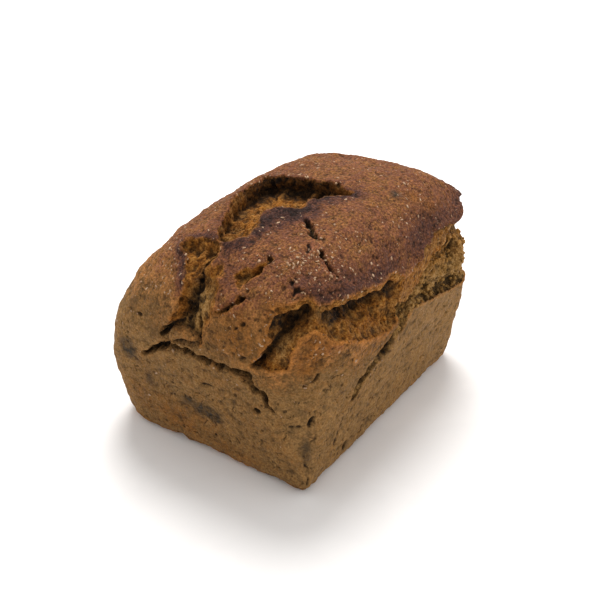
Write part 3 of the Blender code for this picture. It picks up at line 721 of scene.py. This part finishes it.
def patch_crust(crust):
    """Grey and rusty patches with soft uneven edges."""
    edge = 1.0 + 0.6 * crust.swells(5.0, 3, 20)
    for name, patches in PATCHES.items():
        for middle, reach, strength in patches:
            away = np.linalg.norm((crust.points - middle) / reach, axis=1) * edge
            crust.mark(name, strength * fade(1.0, away))


TEARS = (tear_crown, tear_end, tear_plates, tear_hollow, tear_side, tear_wedge, crack_crust, patch_crust)


# ---------------------------------------------------------------- from dough to mesh


def dough_block(cuts):
    """A tapered block of the tin's size, cut into a fine even grid."""
    bm = bmesh.new()
    bmesh.ops.create_cube(bm, size=1.0)
    bmesh.ops.scale(bm, vec=(BASE_LENGTH, BASE_WIDTH, CROWN_HEIGHT), verts=bm.verts)
    bmesh.ops.translate(bm, vec=(0.0, 0.0, CROWN_HEIGHT / 2.0), verts=bm.verts)
    rim = [v for v in bm.verts if v.co.z > HEART[2]]
    widening = [1.0 + 2.0 * WALL_FLARE * TIN_RIM_HEIGHT / side for side in (BASE_LENGTH, BASE_WIDTH)]
    bmesh.ops.scale(bm, vec=(*widening, 1.0), verts=rim)
    bmesh.ops.subdivide_edges(bm, edges=bm.edges[:], cuts=cuts, use_grid_fill=True)
    return bm


def read_points(mesh):
    """The places of the mesh's vertices, one row each."""
    points = np.empty(3 * len(mesh.vertices), np.float32)
    mesh.vertices.foreach_get("co", points)
    return points.reshape(-1, 3).astype(float)


def write_points(mesh, points):
    """Moves the mesh's vertices to these places."""
    mesh.vertices.foreach_set("co", points.astype(np.float32).ravel())
    mesh.update()


def read_normals(mesh):
    """The normals at the mesh's vertices, one row each."""
    normals = np.empty(3 * len(mesh.vertices), np.float32)
    mesh.vertex_normals.foreach_get("vector", normals)
    return normals.reshape(-1, 3).astype(float)


def mesh_from(bm, name):
    """The bmesh as a new mesh. Frees the bmesh."""
    mesh = bpy.data.meshes.new(name)
    bm.to_mesh(mesh)
    bm.free()
    return mesh


def place(name, data):
    """A new object in the scene."""
    made = bpy.data.objects.new(name, data)
    bpy.context.scene.collection.objects.link(made)
    return made


def modified(mesh, kind, **settings):
    """The mesh as a modifier leaves it."""
    carrier = place("carrier", mesh)
    modifier = carrier.modifiers.new(kind.lower(), kind)
    for name, value in settings.items():
        setattr(modifier, name, value)
    graph = bpy.context.evaluated_depsgraph_get()
    changed = bpy.data.meshes.new_from_object(carrier.evaluated_get(graph), depsgraph=graph)
    bpy.data.objects.remove(carrier)
    bpy.data.meshes.remove(mesh)
    return changed


def carry_marks(points, from_points, marks):
    """Gives each point the marks of the nearest point that has them."""
    tree = kdtree.KDTree(len(from_points))
    for index, point in enumerate(from_points.tolist()):
        tree.insert(point, index)
    tree.balance()
    nearest = np.array([tree.find(point)[1] for point in points.tolist()])
    return {name: values[nearest] for name, values in marks.items()}


def hollowness(mesh, passes):
    """How far each point lies below the average of its surroundings, and that average."""
    edges = np.empty(2 * len(mesh.edges), np.int32)
    mesh.edges.foreach_get("vertices", edges)
    first, second = edges.reshape(-1, 2).T
    points = read_points(mesh)
    count = np.bincount(first, minlength=len(points)) + np.bincount(second, minlength=len(points))
    smooth = points
    for _ in range(passes):
        total = np.column_stack(
            [
                np.bincount(first, smooth[second, axis], len(points))
                + np.bincount(second, smooth[first, axis], len(points))
                for axis in range(3)
            ]
        )
        smooth = 0.5 * smooth + 0.5 * total / np.maximum(count, 1)[:, None]
    return np.einsum("ij,ij->i", smooth - points, read_normals(mesh)), smooth


def roughen(points, marks):
    """The fine relief of the crust and the shaggy relief of the crumb, along the surface's normals."""
    crumb = marks["crumb"] * (1.0 - marks["smooth"])
    shag = marks["shag"]
    clumps = 2.2 * swells(points, 9.0, 3, 21) + 2.0 * nodules(points, 7.0, 22)
    clumps = clumps + 0.4 * nodules(points, 2.6, 23) - 1.6
    porous = 0.5 * swells(points, 4.0, 3, 24) - 0.16 * nodules(points, 1.8, 25)
    porous -= 0.5 * (1.0 - ease(0.08, 0.26, pores(points, 3.6, 26)))
    crown = ease(55.0, 85.0, points[:, 2])
    skin = 0.26 * swells(points, 4.0, 3, 27) + (0.09 + 0.14 * crown) * swells(points, 1.5, 2, 28)
    pits = -0.5 * (1.0 - ease(0.06, 0.2, pores(points, 6.0, 29)))
    wrinkles = 1.0 - ease(0.0, 0.05, np.abs(swells(points * (1.0, 1.0, 1.8), 9.0, 2, 30)))
    pits -= 0.6 * wrinkles * ease(0.1, 0.4, swells(points, 6.0, 2, 31)) * (1.0 - 0.6 * crown)
    return crumb * (shag * clumps + (1.0 - shag) * porous) + (1.0 - crumb) * (skin + pits)


def loaf_middle():
    """What moves the tin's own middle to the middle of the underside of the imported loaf."""
    turns = np.linspace(0.0, math.tau, 721)
    around = np.array([(math.cos(turn), math.sin(turn), rise) for turn in turns for rise in (0.0, 0.3, 0.6)])
    surface = press_to_loaf(HEART + around)
    own = (surface.min(0) + surface.max(0)) / 2.0
    packed = (np.array(LOAF_LOW) + np.array(LOAF_HIGH)) / 2.0 / MM
    return np.array((packed[0] - own[0], packed[1] - own[1], LOAF_LOW[2] / MM))


def drop_specks(mesh):
    """Drops the specks that came away from the loaf, and the bubbles inside it."""
    bm = bmesh.new()
    bm.from_mesh(mesh)
    reached = set()
    bodies = []
    for start in bm.verts:
        if start in reached:
            continue
        reached.add(start)
        body = [start]
        for vert in body:
            for edge in vert.link_edges:
                other = edge.other_vert(vert)
                if other not in reached:
                    reached.add(other)
                    body.append(other)
        bodies.append(body)
    bodies.sort(key=len)
    specks = [vert for body in bodies[:-1] for vert in body]
    bmesh.ops.delete(bm, geom=specks, context="VERTS")
    bm.to_mesh(mesh)
    bm.free()


def keep_in_box(points):
    """Holds points in the dough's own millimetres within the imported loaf's box."""
    low, high = (np.array(corner) / MM - loaf_middle() for corner in (LOAF_LOW, LOAF_HIGH))
    return np.clip(points, low, high)


def sculpt():
    """The loaf's final mesh in millimetres, and its marks."""
    mesh = mesh_from(dough_block(FINE_CUTS), "dough")
    write_points(mesh, press_to_loaf(read_points(mesh)))
    crust = Crust(read_points(mesh), read_normals(mesh))
    for tear in TEARS:
        tear(crust)
    crust.marks["toast_and_light"] = toasting(crust)
    swell_crust(crust)
    opened = crust.opened()
    opened[:, 2] = np.maximum(opened[:, 2], 0.0)
    write_points(mesh, opened)
    mesh = modified(mesh, "REMESH", mode="VOXEL", voxel_size=FINE_VOXEL)
    marks = carry_marks(read_points(mesh), opened, crust.marks)
    _, smooth = hollowness(mesh, SMOOTHING_PASSES)
    write_points(mesh, smooth)
    rise = roughen(smooth, marks) * ease(0.0, 2.0, smooth[:, 2])
    points = keep_in_box(smooth + read_normals(mesh) * rise[:, None])
    write_points(mesh, points)
    triangles = sum(len(p.vertices) - 2 for p in mesh.polygons)
    ratio = min(1.0, MOST_TRIANGLES / triangles)
    mesh = modified(mesh, "DECIMATE", ratio=ratio, use_collapse_triangulate=True)
    drop_specks(mesh)
    marks = carry_marks(read_points(mesh), points, marks)
    # These hollowness marks steer painted shade in hollows and a painted highlight on crests in the material
    marks["hollow"] = hollowness(mesh, HOLLOW_PASSES)[0]
    marks["cleft_shade"] = hollowness(mesh, CLEFT_PASSES)[0]
    return mesh, marks


# ---------------------------------------------------------------- finishes


def put(tree, kind, inputs=None, **settings):
    """Adds a shader node, with its settings and its inputs, and returns it."""
    made = tree.nodes.new("ShaderNode" + kind)
    for name, value in settings.items():
        setattr(made, name, value)
    for name, value in (inputs or {}).items():
        if isinstance(value, bpy.types.NodeSocket):
            tree.links.new(value, made.inputs[name])
        else:
            made.inputs[name].default_value = value
    return made


def sums(tree, operation, first, second, third=0.0):
    """The result of a sum on values or on the outputs of nodes."""
    return put(tree, "Math", {0: first, 1: second, 2: third}, operation=operation).outputs[0]


def blend_colours(tree, share, first, second, mode="MIX"):
    """The first colour with this share of the second."""
    made = put(tree, "Mix", {0: share, 6: first, 7: second}, data_type="RGBA", blend_type=mode)
    made.clamp_factor = True
    return made.outputs[2]


def tinted(tree, share, colour, tint):
    """The colour with this share of a tint over it."""
    return blend_colours(tree, share, colour, (*tint, 1.0))


def spread(tree, value, low, high):
    """0 where the value is at or below low and 1 where it is at or above high, or the other way round."""
    ends = {"Value": value, "From Min": low, "From Max": high}
    return put(tree, "MapRange", ends, interpolation_type="SMOOTHSTEP").outputs[0]


def colour_steps(tree, value, steps):
    """A colour that runs through these (place, colour) steps."""
    made = put(tree, "ValToRGB", {"Fac": value})
    ramp = made.color_ramp
    while len(ramp.elements) < len(steps):
        ramp.elements.new(0.5)
    for element, (place, colour) in zip(ramp.elements, steps):
        element.position = place
        element.color = (*colour, 1.0)
    return made.outputs[0]


def attribute(tree, name):
    """One of the mesh's own marks, read in a material."""
    return put(tree, "Attribute", attribute_name=name).outputs["Fac"]


def group_tree(name, inputs, outputs, kind="NodeSocketFloat"):
    """An empty node group with these value inputs and outputs of this kind."""
    tree = bpy.data.node_groups.new(name, "ShaderNodeTree")
    sockets = tree.interface
    for label, value in inputs:
        sockets.new_socket(label, in_out="INPUT", socket_type="NodeSocketFloat").default_value = value
    for label in outputs:
        sockets.new_socket(label, in_out="OUTPUT", socket_type=kind)
    return tree, tree.nodes.new("NodeGroupInput").outputs, tree.nodes.new("NodeGroupOutput").inputs


def grain_group():
    """Grain of one size in millimetres: a mottle, round specks and thin cracks, each from 0 to 1."""
    outputs = ("Mottle", "Specks", "Cracks")
    tree, given, made = group_tree("baked grain", (("Size", 2.0), ("Specks", 0.3)), outputs)
    centred = put(tree, "Mapping", {"Vector": put(tree, "TexCoord").outputs["Object"]}).outputs[0]
    density = sums(tree, "DIVIDE", 1.0 / MM, given["Size"])
    noise_in = {"Vector": centred, "Scale": density, "Detail": 3.0, "Roughness": 0.6}
    mottle = put(tree, "TexNoise", noise_in)
    tree.links.new(spread(tree, mottle.outputs[0], 0.32, 0.68), made["Mottle"])
    cell = put(tree, "TexVoronoi", {"Vector": centred, "Scale": density})
    tree.links.new(spread(tree, cell.outputs["Distance"], given["Specks"], 0.0), made["Specks"])
    bend = put(tree, "VectorMath", {0: mottle.outputs[1], 3: 1.2 * MM}, operation="SCALE")
    bent = put(tree, "VectorMath", {0: centred, 1: bend.outputs[0]}, operation="ADD")
    edge = put(tree, "TexVoronoi", {"Vector": bent.outputs[0], "Scale": density}, feature="DISTANCE_TO_EDGE")
    tree.links.new(spread(tree, edge.outputs["Distance"], 0.05, 0.0), made["Cracks"])
    return tree


def grain(tree, size, specks=0.3):
    """The baked grain group's outputs for one size."""
    made = tree.nodes.new("ShaderNodeGroup")
    made.node_tree = bpy.data.node_groups.get("baked grain") or grain_group()
    made.inputs["Size"].default_value = size
    made.inputs["Specks"].default_value = specks
    return made.outputs


def new_material(name, roughness, specular):
    """A new material, with its node tree and its shader."""
    material = bpy.data.materials.new(name)
    material.use_nodes = True
    shader = material.node_tree.nodes["Principled BSDF"]
    shader.inputs["Roughness"].default_value = roughness
    shader.inputs["Specular IOR Level"].default_value = specular
    return material, material.node_tree, shader


def crust_colour(tree, colours):
    """The crust, from tan walls through russet to burnt edges, with flour, grey and rusty patches, and
    painted shade in its fine pits and cracks.
    """
    times, grade = partial(sums, tree, "MULTIPLY"), partial(sums, tree, "MULTIPLY_ADD")
    wide, middle, fine = (grain(tree, size)["Mottle"] for size in CRUST_GRAIN)
    # The baking mark, which also holds the painted light that pales the long walls
    baked = attribute(tree, "toast_and_light")
    toast_and_light = grade(middle, 0.12, grade(wide, 0.09, baked))
    toast_and_light = grade(fine, 0.18, sums(tree, "SUBTRACT", toast_and_light, 0.195))
    toast_and_light = grade(attribute(tree, "scorch"), 0.36, toast_and_light)
    tints = (colours.wall, colours.wall_shade, colours.gold, colours.russet, colours.scorched, colours.burnt)
    colour = colour_steps(tree, toast_and_light, list(zip((0.0, 0.2, 0.4, 0.6, 0.8, 1.0), tints)))
    rust = times(attribute(tree, "rust"), grade(middle, 0.5, 0.5))
    colour = tinted(tree, rust, colour, colours.rust)
    blotch = spread(tree, sums(tree, "ADD", attribute(tree, "ash"), times(wide, 0.25)), 0.2, 1.0)
    colour = tinted(tree, times(blotch, grade(middle, 0.6, 0.4)), colour, colours.grey)
    # Painted shade: dark specks for small pits, and thin dark lines for fine cracks, stand in for the shade
    # inside them
    colour = tinted(tree, times(grain(tree, 3.3, 0.16)["Specks"], 0.45), colour, colours.pit_shade)
    cracks = times(grain(tree, 6.0)["Cracks"], spread(tree, grain(tree, 11.0)["Mottle"], 0.6, 0.9))
    cracks = times(cracks, spread(tree, grain(tree, 2.8)["Mottle"], 0.5, 0.8))
    colour = tinted(tree, times(cracks, 0.7), colour, colours.pit_shade)
    flour = times(grain(tree, 1.5, 0.26)["Specks"], grade(middle, 0.7, 0.1))
    colour = tinted(tree, times(flour, grade(baked, 0.7, 0.1)), colour, colours.flour)
    colour = tinted(tree, attribute(tree, "glow"), colour, colours.rim)
    bright = times(sums(tree, "SUBTRACT", grain(tree, 0.9)["Mottle"], 0.5), grade(baked, 0.6, 0.4))
    shade = sums(tree, "ADD", bright, grade(middle, 0.45, 0.78))
    shade = grade(wide, 0.2, sums(tree, "SUBTRACT", shade, 0.1))
    return put(tree, "HueSaturation", {"Value": shade, "Color": colour}).outputs[0], cracks


def crumb_group(colours):
    """Crumb, olive-brown inside and orange-brown where it has dried."""
    tree, given, made = group_tree("torn crumb", (("Dried", 0.0),), ("Color",), "NodeSocketColor")
    times, grade = partial(sums, tree, "MULTIPLY"), partial(sums, tree, "MULTIPLY_ADD")
    wide, middle, fine = (grain(tree, size)["Mottle"] for size in CRUMB_GRAIN)
    mixed = grade(middle, 0.45, times(fine, 0.55))
    moist = zip((0.1, 0.5, 0.9), (colours.crumb_dark, colours.crumb, colours.crumb_pale))
    dried = zip((0.1, 0.5, 0.95), (colours.crust_shade, colours.crumb_edge, colours.crumb_gold))
    share = times(given["Dried"], grade(wide, 0.6, 0.7))
    inside, outside = (colour_steps(tree, mixed, list(steps)) for steps in (moist, dried))
    tree.links.new(blend_colours(tree, share, inside, outside), made["Color"])
    return tree


def crumb_colour(tree, colours):
    """The torn crumb group, dried where the piece's glow mark says so."""
    made = tree.nodes.new("ShaderNodeGroup")
    made.node_tree = bpy.data.node_groups.get("torn crumb") or crumb_group(colours)
    tree.links.new(attribute(tree, "glow"), made.inputs["Dried"])
    return made.outputs["Color"]


def loaf_material(colours):
    """Crust and crumb, which the loaf's own marks tell apart."""
    material, tree, shader = new_material("baked_crust_and_crumb", 0.8, 0.1)
    times, grade = partial(sums, tree, "MULTIPLY"), partial(sums, tree, "MULTIPLY_ADD")
    crumb = spread(tree, attribute(tree, "crumb"), 0.35, 0.65)
    crust, cracks = crust_colour(tree, colours)
    colour = blend_colours(tree, crumb, crust, crumb_colour(tree, colours))
    # Near-black tint: burnt crust, and painted shade inside cracks, fissures, clefts and the gaps under lips
    soot_and_shade = times(attribute(tree, "soot_and_shade"), grade(grain(tree, 2.0)["Mottle"], 0.4, 0.6))
    colour = tinted(tree, soot_and_shade, colour, colours.soot_and_shade)
    # Painted shade: sunken places, measured from the mesh, are tinted towards near black
    for name, deep, share in SUNKEN_SHADE:
        sunk_shade = times(spread(tree, attribute(tree, name), 0.02, deep), share)
        colour = tinted(tree, sunk_shade, colour, colours.cleft_shade)
    # Painted highlight: raised crests are lightened by multiplying with a pale tint
    proud_highlight = times(spread(tree, attribute(tree, "hollow"), -0.02, -0.22), 0.35)
    colour = blend_colours(tree, proud_highlight, colour, PROUD_HIGHLIGHT, "MULTIPLY")
    fine, finest = grain(tree, 1.2)["Mottle"], grain(tree, 0.5)["Mottle"]
    height = grade(cracks, -1.2, grade(finest, 0.6, fine))
    bump = put(tree, "Bump", {"Height": height, "Strength": 1.0, "Distance": BUMP_HEIGHT})
    sheen = put(tree, "MapRange", {"Value": fine, "To Min": 0.95, "To Max": 0.55})
    tree.links.new(colour, shader.inputs["Base Color"])
    tree.links.new(bump.outputs[0], shader.inputs["Normal"])
    tree.links.new(sheen.outputs[0], shader.inputs["Roughness"])
    return material


def crumb_material(colours):
    """Loose crumbs on the torn faces."""
    material, tree, shader = new_material("loose_crumb", 0.9, 0.05)
    tree.links.new(crumb_colour(tree, colours), shader.inputs["Base Color"])
    return material


def flake_material(colours):
    """Bran and oat flakes: pale straw with browner patches."""
    material, tree, shader = new_material("bran_flake", 0.7, 0.3)
    steps = [(0.1, tuple(colours.flake_brown)), (0.8, tuple(colours.flake))]
    tree.links.new(colour_steps(tree, grain(tree, 1.7)["Mottle"], steps), shader.inputs["Base Color"])
    return material


def floor_material(colour):
    """The plain pale studio floor."""
    material, tree, shader = new_material("studio_floor", 0.9, 0.0)
    steps = [(0.4, tuple(0.985 * c for c in colour)), (0.6, tuple(colour))]
    tree.links.new(colour_steps(tree, grain(tree, 60.0)["Mottle"], steps), shader.inputs["Base Color"])
    return material


# ---------------------------------------------------------------- settings


def colour_setting(name, description, default):
    return FloatVectorProperty(
        name=name, description=description, default=default, subtype="COLOR", size=3, min=0.0, max=1.0
    )


class LoafColours(bpy.types.PropertyGroup):
    """The colours of the baked loaf."""

    wall: colour_setting("Wall", "Palest crust, where the tin kept the heat off", (0.318, 0.174, 0.062))
    wall_shade: colour_setting("Wall shade", "Browner crust on the walls", (0.222, 0.110, 0.034))
    gold: colour_setting("Gold", "Golden brown crust at the shoulders", (0.370, 0.162, 0.047))
    russet: colour_setting("Russet", "Red-brown crust of the crown", (0.195, 0.072, 0.031))
    scorched: colour_setting("Scorched", "Purple-brown crust at the slab's edges", (0.085, 0.035, 0.025))
    burnt: colour_setting("Burnt", "Nearly black crust", (0.024, 0.013, 0.011))
    rust: colour_setting("Rust", "Orange-brown patches", (0.235, 0.088, 0.016))
    grey: colour_setting("Grey patch", "Grey-brown patches on the walls", (0.040, 0.031, 0.020))
    # Painted shade inside small pits and fine cracks
    pit_shade: colour_setting("Pit", "Inside of the small pits and cracks", (0.030, 0.016, 0.008))
    flour: colour_setting("Flour", "Fine pale specks", (0.36, 0.22, 0.14))
    crumb: colour_setting("Crumb", "Olive-brown crumb", (0.300, 0.158, 0.044))
    crumb_dark: colour_setting("Crumb shade", "Dark crumb between the clumps", (0.110, 0.055, 0.014))
    crumb_pale: colour_setting("Pale crumb", "Tan tops of the clumps", (0.470, 0.270, 0.098))
    crust_shade: colour_setting("Dried shade", "Dark part of the dried crumb", (0.130, 0.044, 0.006))
    crumb_edge: colour_setting("Dried crumb", "Orange crumb beside the crust", (0.285, 0.102, 0.014))
    crumb_gold: colour_setting("Dried tips", "Palest dried crumb", (0.480, 0.210, 0.038))
    rim: colour_setting("Rim", "Orange rims of the tears", (0.370, 0.145, 0.032))
    # Near black, for burnt crust and for painted shade in cracks and under lips
    soot_and_shade: colour_setting("Soot", "Burnt walls of the tears", (0.010, 0.006, 0.004))
    # Painted shade for the bottoms of hollows and clefts
    cleft_shade: colour_setting("Cleft", "Bottoms of the clefts", (0.012, 0.008, 0.005))
    flake: colour_setting("Flake", "Pale bran flakes", (0.46, 0.30, 0.18))
    flake_brown: colour_setting("Brown flake", "Toasted bran flakes", (0.25, 0.13, 0.06))


class LoafFlakes(bpy.types.PropertyGroup):
    """The bran flakes that are baked into the crust."""

    count: IntProperty(name="Flakes", description="How many flakes are scattered", default=900, min=0)
    length: FloatProperty(
        name="Flake length", description="Length of a large flake", default=1.7 * MM, min=0.0, unit="LENGTH"
    )
    crumbs: IntProperty(name="Crumbs", description="How many loose crumbs there are", default=420, min=0)
    crumb_size: FloatProperty(
        name="Crumb size", description="Size of a large crumb", default=2.4 * MM, min=0.0, unit="LENGTH"
    )


class LoafStudio(bpy.types.PropertyGroup):
    """The floor, the light and the camera."""

    floor: colour_setting("Floor", "Colour of the studio floor", (0.90, 0.877, 0.858))
    floor_size: FloatProperty(
        name="Floor size", description="Side of the square floor", default=6.0, min=1.0, unit="LENGTH"
    )
    sky: FloatProperty(
        name="Sky", description="Strength of the even light all round", default=0.80, min=0.0
    )
    key: FloatProperty(
        name="Key light", description="Power of the large soft light", default=12.0, min=0.0, unit="POWER"
    )
    fill: FloatProperty(
        name="Fill light",
        description="Power of the fill light on the long wall",
        default=1.8,
        min=0.0,
        unit="POWER",
    )
    azimuth: FloatProperty(
        name="Azimuth",
        description="Direction the camera looks from",
        default=math.radians(-55.76),
        subtype="ANGLE",
    )
    elevation: FloatProperty(
        name="Elevation",
        description="How far the camera looks down",
        default=math.radians(33.38),
        subtype="ANGLE",
    )
    distance: FloatProperty(
        name="Distance", description="From the camera to its target", default=0.56, min=0.1, unit="LENGTH"
    )
    lens: FloatProperty(name="Lens", description="Focal length in millimetres", default=77.0, min=10.0)


# ---------------------------------------------------------------- making the pieces


def finish_piece(mesh, name, material):
    """Makes a mesh in millimetres a smooth piece in metres that rides with the loaf."""
    write_points(mesh, (read_points(mesh) + loaf_middle()) * MM)
    mesh.name = name
    mesh.materials.clear()
    mesh.materials.append(material)
    mesh.shade_smooth()
    piece = place(name, mesh)
    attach(piece, "root")
    return piece


def store_marks(mesh, marks):
    """Keeps the marks as attributes of the mesh."""
    for name, values in marks.items():
        layer = mesh.attributes.new(name, "FLOAT", "POINT")
        layer.data.foreach_set("value", values.astype(np.float32))


def make_loaf(scene):
    """The loaf itself, which shows in place of the CAD's."""
    mesh, marks = sculpt()
    store_marks(mesh, marks)
    loaf = finish_piece(mesh, "torn_loaf", loaf_material(scene.loaf_colours))
    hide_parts("loaf")


def loaf_surface():
    """The loaf's points and normals in the dough's own millimetres, with its marks."""
    mesh = bpy.data.objects["torn_loaf"].data
    marks = {}
    for name in MARKS:
        marks[name] = np.empty(len(mesh.vertices), np.float32)
        mesh.attributes[name].data.foreach_get("value", marks[name])
    return read_points(mesh) / MM - loaf_middle(), read_normals(mesh), marks


def add_bit(bm, middle, up, sizes, tilt, rng):
    """A small uneven lump of these sizes that lies on the surface with a slight tilt."""
    lean = Matrix.Rotation(rng.uniform(-tilt, tilt), 4, "X")
    spin = Matrix.Rotation(rng.uniform(0.0, math.tau), 4, "Z")
    stand = up.to_track_quat("Z", "Y").to_matrix().to_4x4()
    whole = Matrix.Translation(middle) @ stand @ spin @ lean @ Matrix.Diagonal((*sizes, 1.0))
    for vert in bmesh.ops.create_icosphere(bm, subdivisions=1, radius=0.5, matrix=whole)["verts"]:
        vert.co = middle + (vert.co - middle) * rng.uniform(0.72, 1.15)


def scatter(name, chance, count, sizes, sink, tilt, material, seed):
    """One mesh of small lumps, dense where the chance is high."""
    points, normals, marks = loaf_surface()
    rng = np.random.default_rng(seed)
    bm = bmesh.new()
    spots = rng.choice(len(points), size=count, replace=False, p=chance / chance.sum())
    for spot in spots:
        up = Vector(normals[spot])
        lump = sizes(rng)
        add_bit(bm, Vector(points[spot]) - up * sink * lump[2], up, lump, tilt, rng)
    mesh = mesh_from(bm, name)
    store_marks(mesh, {"glow": np.repeat(marks["glow"][spots], len(mesh.vertices) // count)})
    write_points(mesh, keep_in_box(read_points(mesh)))
    return finish_piece(mesh, name, material)


def make_flakes(scene):
    """Flat flakes that lie on the crust, most of them on the crown and close together in clusters."""
    settings = scene.loaf_flakes
    length = settings.length / MM
    points, _, marks = loaf_surface()
    chance = 0.06 + ease(20.0, 90.0, points[:, 2])
    for centre, reach, strength in FLAKE_CLUSTERS:
        chance += strength * fade(reach, np.linalg.norm(points - centre, axis=1))
    chance *= (marks["crumb"] < 0.1) * (points[:, 2] > 3.0)

    def sizes(rng):
        long = length * (0.35 + 1.0 * rng.random() ** 2.0)
        return long, long * rng.uniform(0.35, 0.8), 0.2 * length

    finish = flake_material(scene.loaf_colours)
    scatter("bran_flakes", chance, settings.count, sizes, 0.1, 0.45, finish, FLAKE_SEED)


def make_crumbs(scene):
    """Loose crumbs that make the torn faces shaggy."""
    settings = scene.loaf_flakes
    size = settings.crumb_size / MM
    points, _, marks = loaf_surface()
    chance = (marks["crumb"] > 0.6) * (0.03 + marks["shag"] ** 3) * (marks["soot_and_shade"] < 0.4)

    def sizes(rng):
        lump = size * (0.35 + 0.9 * rng.random() ** 1.6)
        return lump, lump * rng.uniform(0.6, 1.0), lump * rng.uniform(0.6, 1.0)

    finish = crumb_material(scene.loaf_colours)
    scatter("loose_crumbs", chance, settings.crumbs, sizes, -0.1, 1.5, finish, CRUMB_SEED)


def make_floor(settings):
    bm = bmesh.new()
    bmesh.ops.create_grid(bm, x_segments=1, y_segments=1, size=settings.floor_size / 2.0)
    bmesh.ops.translate(bm, vec=(0.0, 0.0, LOAF_LOW[2] - FLOOR_GAP), verts=bm.verts)
    floor = place("studio_floor", mesh_from(bm, "studio_floor"))
    floor.data.materials.append(floor_material(settings.floor))


def make_lights(scene, settings):
    """An even white sky, and two soft lights aimed at the loaf."""
    scene.world = bpy.data.worlds.new("soft_studio")
    scene.world.use_nodes = True
    sky = scene.world.node_tree.nodes["Background"].inputs
    sky["Color"].default_value = (1.0, 1.0, 1.0, 1.0)
    sky["Strength"].default_value = settings.sky
    lights = (("key", settings.key, KEY_PLACE, KEY_SIZE), ("fill", settings.fill, FILL_PLACE, FILL_SIZE))
    for name, power, where, size in lights:
        light = bpy.data.lights.new(name, "AREA")
        light.shape = "DISK"
        light.size = size
        light.energy = power
        holder = place(name, light)
        holder.location = where
        holder.rotation_euler = (-Vector(where)).to_track_quat("-Z", "Y").to_euler()


def make_camera(scene, settings):
    camera = bpy.data.cameras.new("camera")
    camera.sensor_width = SENSOR_WIDTH
    camera.lens = settings.lens
    across = math.cos(settings.elevation)
    turn = settings.azimuth
    back = Vector((math.sin(turn) * across, -math.cos(turn) * across, math.sin(settings.elevation)))
    scene.camera = place("camera", camera)
    scene.camera.location = Vector((CAMERA_TARGET + loaf_middle()) * MM) + back * settings.distance
    scene.camera.rotation_euler = (-back).to_track_quat("-Z", "Y").to_euler()


# ---------------------------------------------------------------- the add-on


class LOAF_OT_bake(bpy.types.Operator):
    """Bake the loaf, with its crust, tears and crumb"""

    bl_idname = "loaf.bake"
    bl_label = "Bake Loaf"

    def execute(self, context):
        make_loaf(context.scene)
        return {"FINISHED"}


class LOAF_OT_scatter_flakes(bpy.types.Operator):
    """Scatter bran flakes over the crust and loose crumbs over the torn faces"""

    bl_idname = "loaf.scatter_flakes"
    bl_label = "Scatter Flakes and Crumbs"

    def execute(self, context):
        make_flakes(context.scene)
        make_crumbs(context.scene)
        return {"FINISHED"}


class LOAF_OT_set_stage(bpy.types.Operator):
    """Lay the studio floor, and set the lights and the camera"""

    bl_idname = "loaf.set_stage"
    bl_label = "Set Stage"

    def execute(self, context):
        scene = context.scene
        make_floor(scene.loaf_studio)
        make_lights(scene, scene.loaf_studio)
        make_camera(scene, scene.loaf_studio)
        scene.view_settings.view_transform = "Standard"
        return {"FINISHED"}


class LOAF_PT_panel(bpy.types.Panel):
    """The loaf's settings, and a button for each step"""

    bl_label = "Tin Loaf"
    bl_idname = "LOAF_PT_panel"
    bl_space_type = "VIEW_3D"
    bl_region_type = "UI"
    bl_category = "Loaf"

    def draw(self, context):
        scene = context.scene
        for operator, settings in (
            ("loaf.bake", scene.loaf_colours),
            ("loaf.scatter_flakes", scene.loaf_flakes),
            ("loaf.set_stage", scene.loaf_studio),
        ):
            column = self.layout.column()
            for name in settings.bl_rna.properties.keys():
                if name not in ("rna_type", "name"):
                    column.prop(settings, name)
            column.operator(operator)


CLASSES = (
    LoafColours,
    LoafFlakes,
    LoafStudio,
    LOAF_OT_bake,
    LOAF_OT_scatter_flakes,
    LOAF_OT_set_stage,
    LOAF_PT_panel,
)


def register():
    for cls in CLASSES:
        bpy.utils.register_class(cls)
    bpy.types.Scene.loaf_colours = PointerProperty(type=LoafColours)
    bpy.types.Scene.loaf_flakes = PointerProperty(type=LoafFlakes)
    bpy.types.Scene.loaf_studio = PointerProperty(type=LoafStudio)


def unregister():
    del bpy.types.Scene.loaf_studio
    del bpy.types.Scene.loaf_flakes
    del bpy.types.Scene.loaf_colours
    for cls in reversed(CLASSES):
        bpy.utils.unregister_class(cls)


def main():
    register()
    bpy.ops.loaf.bake()
    bpy.ops.loaf.scatter_flakes()
    bpy.ops.loaf.set_stage()


if __name__ == "__main__":
    main()
